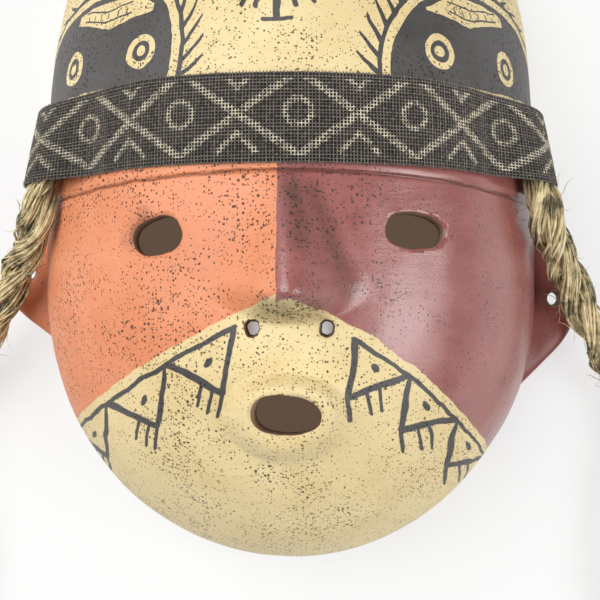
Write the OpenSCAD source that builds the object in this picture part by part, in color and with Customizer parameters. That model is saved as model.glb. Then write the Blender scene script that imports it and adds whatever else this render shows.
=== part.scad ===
// A fired clay face mask with a cloth band round the brow and a fibre rope at each temple.
// It lies on its open back, face up: +Z leaves the face, +Y points to the crown.
// X and Y are zero at the middle of the mask's outline, Z is zero at the plane of its rim.

/* [Face] */
// Width of the face at its rim
face_w = 172; // [160:1:180]
// Height from the line through the nose tip down to the chin
chin_drop = 92; // [86:1:96]
// Height from the line through the nose tip up to the crown
crown_rise = 144; // [136:1:150]
// Depth of the face, without its nose
face_depth = 92; // [86:1:96]
// Thickness of the clay wall
wall = 5.5; // [4.5:0.1:6.5]
// How square the crown's outline is, where 2 is an ellipse
crown_square = 4.2; // [3:0.1:5]
// How square the crown's profile is, where 2 is an ellipse
crown_profile = 2.3; // [2:0.1:3]

/* [Nose and mouth] */
// Height that the nose tip stands out of the face
nose_h = 13; // [8:1:15]
// Half width of the nose at its tip
nose_half_w = 15; // [12:1:18]
// Diameter of each nostril
nostril_d = 5.4; // [4:0.1:6]
// Width of the mouth opening
mouth_w = 21; // [16:1:24]
// Height of the mouth opening
mouth_h = 12.6; // [10:0.1:14]
// Height that the lip stands out of the face
lip_h = 5; // [2:0.5:6]

/* [Eyes] */
// Width of the eye opening on the left
left_eye_w = 16.6; // [14:0.1:20]
// Height of the eye opening on the left
left_eye_h = 12.5; // [10:0.1:14]
// Width of the eye opening on the right
right_eye_w = 18.7; // [14:0.1:20]
// Height of the eye opening on the right
right_eye_h = 11.4; // [10:0.1:14]

/* [Ears] */
// Distance between the outer tips of the ears
ear_span = 196; // [192:1:200]
// Diameter of the hole through each ear
ear_hole_d = 4.4; // [4:0.1:5]
// Thickness of an ear
ear_t = 9; // [7:0.5:10]
// How much lower the right ear sits
ear_drop = 9; // [0:1:10]

/* [Band] */
// Lower edge of the band, above the nose tip
band_low = 37; // [35:1:38]
// Width of the band
band_w = 27; // [24:1:30]
// Thickness of the band's cloth
band_t = 1.2; // [1:0.1:1.5]
// Thickness of the glue that holds the band
glue_t = 0.5; // [0.3:0.1:0.8]

/* [Ropes] */
// Diameter of each rope
rope_d = 12; // [11:0.5:12]
// Diameter of the rope's bound end where it leaves the band
root_d = 9.5; // [9:0.5:10]
// Diameter of the rope's bound end at its tip
root_tip_d = 5; // [4:0.5:6]
// Diameter of the stopper knot
knot_d = 18; // [16:0.5:18]
// Length of the stopper knot
knot_l = 15; // [12:1:18]
// Length of the loose fibres past the knot
tassel_l = 22; // [16:1:26]

/* [Hidden] */

// The nose tip's line lies this far below the middle of the outline.
nose_line = (chin_drop - crown_rise) / 2;
half_w = face_w / 2;
band_high = band_low + band_w;
cut = 1;

// Steps of the surface grid: across the face, and in each stretch of its height.
across = 48;
inner_across = 24;
chin_steps = 16;
cheek_steps = 6;
band_steps = 4;
crown_steps = 12;

// Places on the face, as [x, y] from the middle of the nose tip's line.
left_eye = [-38.5, 17];
right_eye = [36.4, 18.5];
eye_tilt = 14;
mouth = [-1, -34];
nostril_x = 10.6;
nostril_y = -9.5;

// Nose: it starts under the band, is highest at its tip and ends just below it.
nose_top_y = 35;
nose_tip_y = 1;
nose_end_y = -7;
nose_bridge_half_w = 6;

// Lip: a ring round the mouth, given by its half width and half height.
lip_rx = 13.5;
lip_ry = 9;
lip_soft = 0.3;

// Ear: outline points from its upper root to its lower root, at the right side.
ear_z = 8;
ear_root_x = 76;
ear_high = 30;
ear_low = -15;
ear_hole = [91.5, 8];
ear_round = 6;

// Rope: the temple's angle round the face, and the route from the exit to the stopper knot.
rope_angle = 31;
root_gap = 0.1;
hump_room = 0.9;
hump_half = 25;
rope_route = [
    [80, 31, 50], [81, 26, 48], [84, 20, 42], [88, 14, 36], [93, 6, 30], [98, -3, 25],
    [103, -11, 22], [108, -18, 17], [113, -26, 12], [118, -35, 8], [121, -45, 6.5],
    [122, -56, 6.5], [121, -68, 6.5], [119, -80, 6.5], [118, -92, 6.5], [119, -104, 6.5],
    [120, -116, 6.5], [120, -128, 6.5]
];
rope_sides = 12;
rope_end = rope_route[len(rope_route) - 1];

// Half width and depth of the face at height y, for an outline that is d smaller all round.
function rise_w(y, d) =
    y < 0 ? (half_w - d) * sqrt(max(0, 1 - pow(y / (chin_drop - d), 2)))
          : (half_w - d) * pow(max(0, 1 - pow(y / (crown_rise - d), crown_square)), 1 / crown_square);
function rise_z(y, d) =
    y < 0 ? (face_depth - d) * sqrt(max(0, 1 - pow(y / (chin_drop - d), 2)))
          : (face_depth - d) * pow(max(0, 1 - pow(y / (crown_rise - d), crown_profile)), 1 / crown_profile);

// A point of the plain face at height y and angle a, and the direction out of the face there.
function face(y, a, d = 0) = [rise_w(y, d) * cos(a), y, rise_z(y, d) * sin(a)];
function out_dir(y, a) =
    let (n = [cos(a) / rise_w(y, 0), 0, sin(a) / rise_z(y, 0)]) n / norm(n);

// Height of the nose and of the lip above the plain face.
function nose(x, y) =
    let (t = (nose_top_y - y) / (nose_top_y - nose_tip_y),
         h = t <= 0 ? 0 : t <= 1 ? pow(t, 1.4) : max(0, (y - nose_end_y) / (nose_tip_y - nose_end_y)),
         w = nose_bridge_half_w + (nose_half_w - nose_bridge_half_w) * min(1, max(0, t)))
    nose_h * h * exp(-1.1 * pow(x / w, 2));
function lip(x, y) =
    let (r = norm([(x - mouth[0]) / lip_rx, (y - mouth[1]) / lip_ry]))
    lip_h * exp(-pow((r - 1) / lip_soft, 2) / 2);
function modelled(y, a) =
    let (p = face(y, a)) p + [0, 0, a > 45 && a < 135 ? nose(p[0], p[1]) + lip(p[0], p[1]) : 0];

// Heights of the grid's rows, from just above the chin to just below the crown.
crown_from = asin(pow(band_high / crown_rise, crown_square / 2));
rows = concat(
    [for (i = [1 : chin_steps - 1]) -chin_drop * cos(90 * i / chin_steps)],
    [for (i = [0 : cheek_steps - 1]) band_low * i / cheek_steps],
    [for (i = [0 : band_steps - 1]) band_low + band_w * i / band_steps],
    [for (i = [0 : crown_steps - 1])
        crown_rise * pow(sin(crown_from + (90 - crown_from) * i / crown_steps), 2 / crown_square)]
);
row_n = len(rows);
band_rows = [for (i = [0 : band_steps]) band_low + band_w * i / band_steps];
function inner_row(y) = y < 0 ? y * (chin_drop - wall) / chin_drop : y * (crown_rise - wall) / crown_rise;

// Moves a solid from the nose tip's line to the frame of the whole mask.
module placed() {
    translate([0, nose_line, 0]) children();
}

// Faces of a grid of points, where each row has n + 1 points, seen from its outer side.
function grid_faces(from, rows_n, n, flip) =
    [for (r = [0 : rows_n - 2], c = [0 : n - 1], half = [0, 1])
        let (p = from + r * (n + 1) + c,
             q = p + n + 1,
             tri = half == 0 ? [p, p + 1, q + 1] : [p, q + 1, q])
        flip ? [tri[2], tri[1], tri[0]] : tri];

// Fan of faces from one point to a row of n + 1 points.
function fan(tip, from, n, flip) =
    [for (c = [0 : n - 1]) flip ? [tip, from + c, from + c + 1] : [tip, from + c + 1, from + c]];

// The clay wall: an outer skin with nose and lip, a plain inner skin, and the flat rim.
module clay_wall() {
    outer = [for (y = rows, i = [0 : across]) modelled(y, 180 * i / across)];
    inner = [for (y = rows, i = [0 : inner_across]) face(inner_row(y), 180 * i / inner_across, wall)];
    inner_at = len(outer);
    tips_at = inner_at + len(inner);
    tips = [[0, -chin_drop, 0], [0, crown_rise, 0],
            [0, wall - chin_drop, 0], [0, crown_rise - wall, 0]];
    last_outer = (row_n - 1) * (across + 1);
    last_inner = inner_at + (row_n - 1) * (inner_across + 1);
    rim = [for (r = [0 : row_n - 2], side = [0, 1])
        let (o = r * (across + 1) + side * across,
             o2 = o + across + 1,
             i = inner_at + r * (inner_across + 1) + side * inner_across,
             i2 = i + inner_across + 1,
             quad = [o, o2, i2, i])
        side == 0 ? quad : [quad[3], quad[2], quad[1], quad[0]]];
    ends = [
        [tips_at, 0, inner_at, tips_at + 2],
        [tips_at + 2, inner_at + inner_across, across, tips_at],
        [tips_at + 3, last_inner, last_outer, tips_at + 1],
        [tips_at + 1, last_outer + across, last_inner + inner_across, tips_at + 3]
    ];
    polyhedron(
        points = concat(outer, inner, tips),
        faces = concat(
            grid_faces(0, row_n, across, false),
            grid_faces(inner_at, row_n, inner_across, true),
            fan(tips_at, 0, across, false),
            fan(tips_at + 1, last_outer, across, true),
            fan(tips_at + 2, inner_at, inner_across, true),
            fan(tips_at + 3, last_inner, inner_across, false),
            rim, ends)
    );
}

// An egg-shaped opening, cut along Z: one end is fuller than the other.
module egg(at, w, h, tilt) {
    steps = 32;
    fuller = 0.12;
    translate([at[0], at[1], 0])
        rotate([0, 0, tilt])
            linear_extrude(height = face_depth + nose_h + cut)
                polygon([for (i = [0 : steps - 1])
                    let (a = 360 * i / steps)
                    [w / 2 * cos(a), h / 2 * sin(a) * (1 + fuller * cos(a))]]);
}

module mask_shell() {
    color("sandybrown")
        placed()
            difference() {
                clay_wall();
                egg(left_eye, left_eye_w, left_eye_h, eye_tilt);
                egg(right_eye, right_eye_w, right_eye_h, 0);
                egg(mouth, mouth_w, mouth_h, 0);
                for (side = [-1, 1])
                    translate([side * nostril_x, nostril_y, 0])
                        cylinder(h = face_depth + nose_h, d = nostril_d, $fn = 32);
            }
}

// Points of an arc that rounds corner b between its neighbours a and c.
function rounded(a, b, c, r) =
    let (u = (a - b) / norm(a - b), v = (c - b) / norm(c - b),
         half = acos(u * v) / 2,
         mid = b + (u + v) / norm(u + v) * r / sin(half),
         from = b + u * r / tan(half) - mid,
         to = b + v * r / tan(half) - mid,
         steps = 5)
    [for (i = [0 : steps])
        let (w = from * sin((1 - i / steps) * (180 - 2 * half)) + to * sin(i / steps * (180 - 2 * half)))
        mid + w / norm(w) * r];

// The side of the face as a solid, which an ear is fitted against.
module temple() {
    steps = 8;
    side_rows = [for (y = rows) if (y > ear_low - ear_drop - 12 && y < band_low + band_w) y];
    n = len(side_rows);
    skin = [for (y = side_rows, i = [0 : steps]) face(y, 180 * i / across)];
    core = [for (y = side_rows) [0, y, 0]];
    last = (n - 1) * (steps + 1);
    polyhedron(
        points = concat(skin, core),
        faces = concat(
            grid_faces(0, n, steps, false),
            fan(len(skin), 0, steps, false),
            fan(len(skin) + n - 1, last, steps, true),
            [for (r = [0 : n - 2])
                [len(skin) + r, len(skin) + r + 1, (r + 1) * (steps + 1), r * (steps + 1)]],
            [for (r = [0 : n - 2])
                [r * (steps + 1) + steps, (r + 1) * (steps + 1) + steps, len(skin) + r + 1, len(skin) + r]])
    );
}

// A flat ear with rounded corners, fitted to the side of the face and drilled through.
module ear(drop) {
    tip_x = ear_span / 2;
    corners = [
        [ear_root_x, ear_high], [tip_x - 5, ear_high - 2], [tip_x, ear_low + 12],
        [ear_root_x + 10, ear_low - 1], [ear_root_x, ear_low]
    ];
    outline = concat(
        [corners[0]],
        rounded(corners[0], corners[1], corners[2], ear_round),
        rounded(corners[1], corners[2], corners[3], ear_round / 2),
        [corners[3], corners[4]]);
    difference() {
        translate([0, -drop, ear_z])
            linear_extrude(height = ear_t)
                polygon(outline);
        temple();
        translate([ear_hole[0], ear_hole[1] - drop, ear_z - cut])
            cylinder(h = ear_t + 2 * cut, d = ear_hole_d, $fn = 32);
    }
}

module left_ear() {
    color("sandybrown")
        placed()
            mirror([1, 0, 0])
                ear(0);
}

module right_ear() {
    color("rosybrown")
        placed()
            ear(ear_drop);
}

// Height of the hump that a bound rope end makes in the band, at height y and angle a.
function hump(y, a) =
    let (fold = min(a, 180 - a),
         along = norm(face(y, fold) - face(y, rope_angle)),
         t = (y - band_low) / band_w,
         high = root_d + (root_tip_d - root_d) * t + hump_room)
    along > hump_half ? 0 : high * pow(cos(90 * along / hump_half), 2);

// A strip on the face between two heights above it, each the same all over or with the humps.
module strip(low, high, humps) {
    end_steps = 1;
    n = across - 2 * end_steps;
    function at(y, i, h) =
        let (a = 180 * (i + end_steps) / across)
        face(y, a) + out_dir(y, a) * (h + (humps ? hump(y, a) : 0));
    under = [for (y = band_rows, i = [0 : n]) at(y, i, low)];
    over = [for (y = band_rows, i = [0 : n]) at(y, i, high)];
    m = len(under);
    last = band_steps * (n + 1);
    polyhedron(
        points = concat(under, over),
        faces = concat(
            grid_faces(0, band_steps + 1, n, true),
            grid_faces(m, band_steps + 1, n, false),
            [for (i = [0 : n - 1]) [i, i + 1, m + i + 1, m + i]],
            [for (i = [0 : n - 1]) [m + last + i, m + last + i + 1, last + i + 1, last + i]],
            [for (r = [0 : band_steps - 1])
                let (p = r * (n + 1), q = p + n + 1) [p, m + p, m + q, q]],
            [for (r = [0 : band_steps - 1])
                let (p = r * (n + 1) + n, q = p + n + 1) [q, m + q, m + p, p]])
    );
}

module band_glue() {
    color("black")
        placed()
            strip(0, glue_t, false);
}

module headband() {
    color("dimgray")
        placed()
            strip(glue_t, glue_t + band_t, true);
}

// Direction of a route at point i.
function heading(route, i) =
    let (a = route[max(0, i - 1)], b = route[min(len(route) - 1, i + 1)]) (b - a) / norm(b - a);

// A round rope swept along a route, with a radius for each point and closed ends.
module tube(route, radii) {
    n = len(route);
    ring = [for (i = [0 : n - 1])
        let (d = heading(route, i),
             u = cross([0, 0, 1], d) / norm(cross([0, 0, 1], d)),
             v = cross(d, u))
        for (s = [0 : rope_sides - 1])
            let (a = 360 * s / rope_sides)
            route[i] + radii[i] * (cos(a) * u + sin(a) * v)];
    polyhedron(
        points = ring,
        faces = concat(
            [[for (s = [0 : rope_sides - 1]) s]],
            [[for (s = [0 : rope_sides - 1]) n * rope_sides - 1 - s]],
            [for (i = [0 : n - 2], s = [0 : rope_sides - 1])
                let (p = i * rope_sides + s,
                     q = i * rope_sides + (s + 1) % rope_sides)
                [p, p + rope_sides, q + rope_sides, q]])
    );
}

// The end of the rope that the band holds, flattened towards its tip.
module rope_root() {
    steps = 4;
    inset = 1;
    heights = [for (i = [0 : steps]) band_low + (band_w - 3 * inset) * i / steps];
    radii = [for (y = heights) (root_d + (root_tip_d - root_d) * (y - band_low) / band_w) / 2];
    tube([for (i = [0 : steps])
        face(heights[i], rope_angle) + out_dir(heights[i], rope_angle) * (glue_t + root_gap + radii[i])],
        radii);
}

// The free rope: a domed start that can turn in place, then the route to the knot.
module free_rope() {
    r = rope_d / 2;
    dome = 4;
    start = rope_route[0];
    back = start - rope_route[1];
    up = back / norm(back);
    domed = [for (i = [0 : dome - 1])
        let (a = 80 - 80 * i / dome) start + up * r * sin(a)];
    domed_r = [for (i = [0 : dome - 1]) r * cos(80 - 80 * i / dome)];
    tube(concat(domed, rope_route), concat(domed_r, [for (p = rope_route) r]));
}

// The stopper knot: a barrel with rounded shoulders, flat where the rope meets it.
module stopper_knot() {
    shoulder = 4;
    r = knot_d / 2;
    translate([rope_end[0], rope_end[1], r + 0.2])
        rotate([90, 0, 0])
            rotate_extrude($fn = 32)
                union() {
                    square([r - shoulder, knot_l]);
                    translate([0, shoulder]) square([r, knot_l - 2 * shoulder]);
                    for (y = [shoulder, knot_l - shoulder])
                        translate([r - shoulder, y])
                            intersection() {
                                circle(r = shoulder, $fn = 32);
                                translate([-shoulder, -shoulder]) square(2 * shoulder);
                            }
                }
}

// Loose fibres past the knot, spreading a little.
module tassel() {
    translate([rope_end[0], rope_end[1] - knot_l, knot_d / 2 + 0.2])
        rotate([90, 0, 0])
            cylinder(h = tassel_l, r1 = rope_d / 2 - 1, r2 = knot_d / 2 - 0.5, $fn = 32);
}

module left_rope_root() {
    color("darkkhaki") placed() mirror([1, 0, 0]) rope_root();
}

module right_rope_root() {
    color("darkkhaki") placed() rope_root();
}

module left_rope() {
    color("darkkhaki") placed() mirror([1, 0, 0]) free_rope();
}

module right_rope() {
    color("darkkhaki") placed() free_rope();
}

module left_rope_knot() {
    color("tan") placed() mirror([1, 0, 0]) stopper_knot();
}

module right_rope_knot() {
    color("tan") placed() stopper_knot();
}

module left_rope_tassel() {
    color("wheat") placed() mirror([1, 0, 0]) tassel();
}

module right_rope_tassel() {
    color("wheat") placed() tassel();
}

mask_shell();
left_ear();
right_ear();
band_glue();
headband();
left_rope_root();
right_rope_root();
left_rope();
right_rope();
left_rope_knot();
right_rope_knot();
left_rope_tassel();
right_rope_tassel();
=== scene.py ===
import math
import random

import bmesh
import bpy
from mathutils import Matrix, Vector, noise


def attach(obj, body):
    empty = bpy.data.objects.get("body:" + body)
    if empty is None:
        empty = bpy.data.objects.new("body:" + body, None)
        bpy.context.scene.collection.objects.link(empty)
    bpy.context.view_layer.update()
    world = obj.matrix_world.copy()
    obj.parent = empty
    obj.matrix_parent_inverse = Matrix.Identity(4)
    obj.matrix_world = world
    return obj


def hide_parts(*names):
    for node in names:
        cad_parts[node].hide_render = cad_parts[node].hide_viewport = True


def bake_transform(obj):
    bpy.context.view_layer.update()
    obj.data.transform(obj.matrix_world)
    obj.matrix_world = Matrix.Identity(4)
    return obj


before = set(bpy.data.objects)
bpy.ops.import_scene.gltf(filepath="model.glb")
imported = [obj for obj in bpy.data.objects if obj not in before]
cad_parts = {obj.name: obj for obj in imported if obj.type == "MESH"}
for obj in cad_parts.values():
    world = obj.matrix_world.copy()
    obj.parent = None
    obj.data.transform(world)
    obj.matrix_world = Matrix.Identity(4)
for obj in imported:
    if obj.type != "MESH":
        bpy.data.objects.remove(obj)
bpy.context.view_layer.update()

scene = bpy.context.scene

# CAMERA
# It looks straight down on the mask, which lies on its open back, from a little below the brow.
lens = bpy.data.cameras.new("camera")
lens.lens = 66.96
lens.sensor_width = 36
camera = bpy.data.objects.new("camera", lens)
camera.location = (0.003, -0.0275, 0.405)
scene.collection.objects.link(camera)
scene.camera = camera
scene.view_settings.view_transform = "Standard"

# TIE ROPES
# One rope hangs at each temple: three loosely laid strands of coarse, sun-bleached agave fibre.
# It comes out from under the band, passes the ear and lies on the table down to its stopper.
MM = 0.001
HALF_WIDTH = 86
CHIN_DROP = 92
CROWN_RISE = 144
FACE_DEPTH = 92
CROWN_SQUARE = 4.2
CROWN_PROFILE = 2.3
NOSE_LINE = (CHIN_DROP - CROWN_RISE) / 2
BAND_LOW = 37
BAND_WIDTH = 27
GLUE = 0.5
CLOTH = 1.2
ROPE_ANGLE = math.radians(31)
ROPE_WIDTH = 12
ROOT_WIDTH = 9.5
ROOT_TIP_WIDTH = 5
ROPE_ROUTE = [
    (80, 31, 50), (81, 26, 48), (84, 20, 42), (88, 14, 36), (93, 6, 30), (98, -3, 25),
    (103, -11, 22), (108, -18, 17), (113, -26, 12), (118, -35, 8), (121, -45, 6.5),
    (122, -56, 6.5), (121, -68, 6.5), (119, -80, 6.5), (118, -92, 6.5), (119, -104, 6.5),
    (120, -116, 6.5), (120, -125, 7.3), (120, -134, 8.8), (120, -143, 9.2),
]
STEP = 2.0


def tone(code):
    """Linear colour of an sRGB hex code."""
    parts = [int(code[i:i + 2], 16) / 255 for i in (1, 3, 5)]
    return [p / 12.92 if p <= 0.04045 else ((p + 0.055) / 1.055) ** 2.4 for p in parts] + [1.0]


def add(tree, kind, inputs, out=0, **settings):
    """Adds a node with its settings, values and links, and returns one of its outputs."""
    node = tree.nodes.new(kind)
    for name, value in settings.items():
        setattr(node, name, value)
    for key, value in (inputs.items() if isinstance(inputs, dict) else enumerate(inputs)):
        if isinstance(value, bpy.types.NodeSocket):
            tree.links.new(value, node.inputs[key])
        elif value is not None:
            node.inputs[key].default_value = value
    return node.outputs[out] if node.outputs else None


def new_material(name):
    """An empty material and its node tree."""
    material = bpy.data.materials.new(name)
    material.use_nodes = True
    material.node_tree.nodes.clear()
    return material, material.node_tree


def face_width(y, inset=0):
    """Half width of the face at a height, on an outline that is inset all round."""
    if y < 0:
        return (HALF_WIDTH - inset) * math.sqrt(max(0, 1 - (y / (CHIN_DROP - inset)) ** 2))
    share = max(0, 1 - (y / (CROWN_RISE - inset)) ** CROWN_SQUARE)
    return (HALF_WIDTH - inset) * share ** (1 / CROWN_SQUARE)


def face_height(y, inset=0):
    """How far the middle of the face stands above its rim at a height."""
    if y < 0:
        return (FACE_DEPTH - inset) * math.sqrt(max(0, 1 - (y / (CHIN_DROP - inset)) ** 2))
    share = max(0, 1 - (y / (CROWN_RISE - inset)) ** CROWN_PROFILE)
    return (FACE_DEPTH - inset) * share ** (1 / CROWN_PROFILE)


def face_point(y, angle, inset=0):
    """A point of the plain face: angle 0 is its right rim and half a turn is its left rim."""
    return Vector((face_width(y, inset) * math.cos(angle), y, face_height(y, inset) * math.sin(angle)))


def face_out(y, angle):
    """The direction straight out of the face at a point."""
    out = Vector((math.cos(angle) / face_width(y), 0, math.sin(angle) / face_height(y)))
    return out.normalized()


def smooth_line(points, spacing):
    """A smooth line through the points, in steps of about one spacing."""
    points = [Vector(p) for p in points]
    ends = [points[0] * 2 - points[1]] + points + [points[-1] * 2 - points[-2]]
    line = []
    for a, b, c, d in zip(ends, ends[1:], ends[2:], ends[3:]):
        count = max(1, round((c - b).length / spacing))
        for i in range(count):
            t = i / count
            line.append((b * 2 + (c - a) * t + (a * 2 - b * 5 + c * 4 - d) * t ** 2
                         + (b * 3 - a - c * 3 + d) * t ** 3) / 2)
    return line + [points[-1]]


def frames_along(line):
    """Each point of a line with two directions across it, which turn as little as they can."""
    frames = []
    side = (line[1] - line[0]).cross(Vector((0, 0, 1)))
    if side.length < 1e-6:
        side = (line[1] - line[0]).orthogonal()
    for i, point in enumerate(line):
        heading = (line[min(i + 1, len(line) - 1)] - line[max(i - 1, 0)]).normalized()
        side = (side - heading * side.dot(heading)).normalized()
        frames.append((point, side, heading.cross(side)))
    return frames


def new_bundle():
    """An empty bmesh that notes on each fibre its own tint."""
    bundle = bmesh.new()
    return bundle, bundle.verts.layers.float.new("tint")


def add_fibre(bundle, tint_layer, line, width, tint, sides=5, blunt=0.4):
    """One fibre along a line, which tapers to a closed point at both ends."""
    last = len(line) - 1
    frames = frames_along(line)
    made = bmesh.ops.create_grid(bundle, x_segments=sides, y_segments=last, size=0.5)["verts"]
    for vert in made:
        step = round((vert.co.y + 0.5) * last)
        turn = 2 * math.pi * (vert.co.x + 0.5)
        point, side, up = frames[step]
        half = width / 2 * max(0, math.sin(math.pi * step / last)) ** blunt
        vert.co = point + (side * math.cos(turn) + up * math.sin(turn)) * half
        vert[tint_layer] = tint


def lay_rope(bundle, tint_layer, line, radius_at, flat=None, lay=58, lanes=23, fibre=0.72, ragged=1.5, seed=1):
    """Three strands round a line, each of many short fibres round a core whose lowest tint is painted shade in the
    gaps.
    """
    dice = random.Random(seed)
    frames = frames_along(line)
    last = len(line) - 1
    step = sum((b - a).length for a, b in zip(line, line[1:])) / last

    def offset(i, strand, lane_angle, lift):
        point, side, up = frames[i]
        radius = radius_at(i * step)
        orbit = 2 * math.pi * (strand / 3 + i * step / lay)
        ring = lane_angle + 2 * math.pi * i * step / (lay * 1.7)
        loose = 1 + 0.1 * noise.noise(Vector((i * step / 9, strand * 7, seed)))
        shift = (side * math.cos(orbit) + up * math.sin(orbit)) * radius * 0.52 * loose
        shift += (side * math.cos(ring) + up * math.sin(ring)) * (radius * 0.36 + lift)
        if flat:
            press = flat[0] * max(0, 1 - i * step / flat[1])
            shift -= flat[2] * shift.dot(flat[2]) * press
        return point + shift

    # Painted shade: the core along the line and each strand's core take the lowest tint, so the grooves and gaps
    # between fibres read dark.
    add_fibre(bundle, tint_layer, line, radius_at(0) * 0.8, 0.0, sides=8, blunt=0.15)
    for strand in range(3):
        core = [offset(i, strand, 0, -radius_at(i * step) * 0.36) for i in range(last + 1)]
        add_fibre(bundle, tint_layer, core, radius_at(0) * 0.74, 0.0, sides=8, blunt=0.15)
        for lane in range(lanes):
            at = -dice.randrange(0, 18)
            while at < last - 4:
                end = at + dice.randrange(8, 22)
                here = range(max(0, at), min(last, end) + 1)
                angle = 2 * math.pi * (lane + dice.uniform(-0.4, 0.4)) / lanes
                proud = dice.choice((0, 0.1, 0.3, 0.7, 1.2)) * fibre * ragged
                tint = dice.random()
                width = fibre * dice.uniform(0.6, 1.5)
                sway = dice.uniform(-1.6, 1.6) * ragged
                if len(here) > 3:
                    path = []
                    for n, i in enumerate(here):
                        part = n / (len(here) - 1)
                        rise = proud * math.sin(math.pi * part) + 0.12 * fibre * math.sin(7 * part + angle)
                        path.append(offset(i, strand, angle + sway * (part - 0.5), rise))
                    add_fibre(bundle, tint_layer, path, width, tint, sides=4)
                at = end - dice.randrange(2, 6)


def close_mesh(mesh):
    """Joins the seams and points of a modelled mesh and turns its faces outwards."""
    bmesh.ops.remove_doubles(mesh, verts=mesh.verts, dist=1e-4)
    bmesh.ops.dissolve_degenerate(mesh, edges=mesh.edges, dist=1e-5)
    bmesh.ops.recalc_face_normals(mesh, faces=mesh.faces)
    for one in mesh.faces:
        one.smooth = True


def make_piece(name, mesh, *materials, slot=None):
    """Turns a bmesh in millimetres from the nose tip's line into an object in metres in its place."""
    place = Matrix.Scale(MM, 4) @ Matrix.Translation((0, NOSE_LINE, 0))
    bmesh.ops.transform(mesh, matrix=place, verts=mesh.verts)
    data = bpy.data.meshes.new(name)
    mesh.to_mesh(data)
    mesh.free()
    for material in materials:
        data.materials.append(material)
    piece = bpy.data.objects.new(name, data)
    scene.collection.objects.link(piece)
    return piece


# Agave fibre, scraped and laid by hand: pale straw with grey-green stretches where the sap dried,
# dull, with fine grooves along each fibre. The dark stretches are about 8 mm long.
rope_fibre, tree = new_material("laid_agave_fibre")
spot = add(tree, "ShaderNodeTexCoord", (), out=3)
tint = add(tree, "ShaderNodeAttribute", (), out=2, attribute_name="tint")
patches = add(tree, "ShaderNodeTexNoise", {"Vector": spot, "Scale": 120, "Detail": 4, "Roughness": 0.7})
patches = add(tree, "ShaderNodeMapRange", {"Value": patches, "From Min": 0.34, "From Max": 0.60, "To Max": 0.70})
shade = add(tree, "ShaderNodeMath", [tint, 0.36, patches], operation="MULTIPLY_ADD")
colour = add(tree, "ShaderNodeValToRGB", [shade])
ramp = tree.nodes[-1].color_ramp
for at, code in ((0.20, "#66614F"), (0.36, "#958A6C"), (0.54, "#BFAE86"), (0.76, "#DBCA9D"), (0.97, "#EDE0BC")):
    stop = ramp.elements.new(at)
    stop.color = tone(code)
ramp.elements.remove(ramp.elements[0])
ramp.elements.remove(ramp.elements[-1])
grooves = add(tree, "ShaderNodeTexNoise", {"Vector": spot, "Scale": 1400, "Detail": 2})
bump = add(tree, "ShaderNodeBump", {"Strength": 0.5, "Distance": 0.0003, "Height": grooves})
shader = add(tree, "ShaderNodeBsdfPrincipled", {"Base Color": colour, "Roughness": 0.9, "Normal": bump,
                                               "Specular IOR Level": 0.2})
add(tree, "ShaderNodeOutputMaterial", {"Surface": shader})

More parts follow.
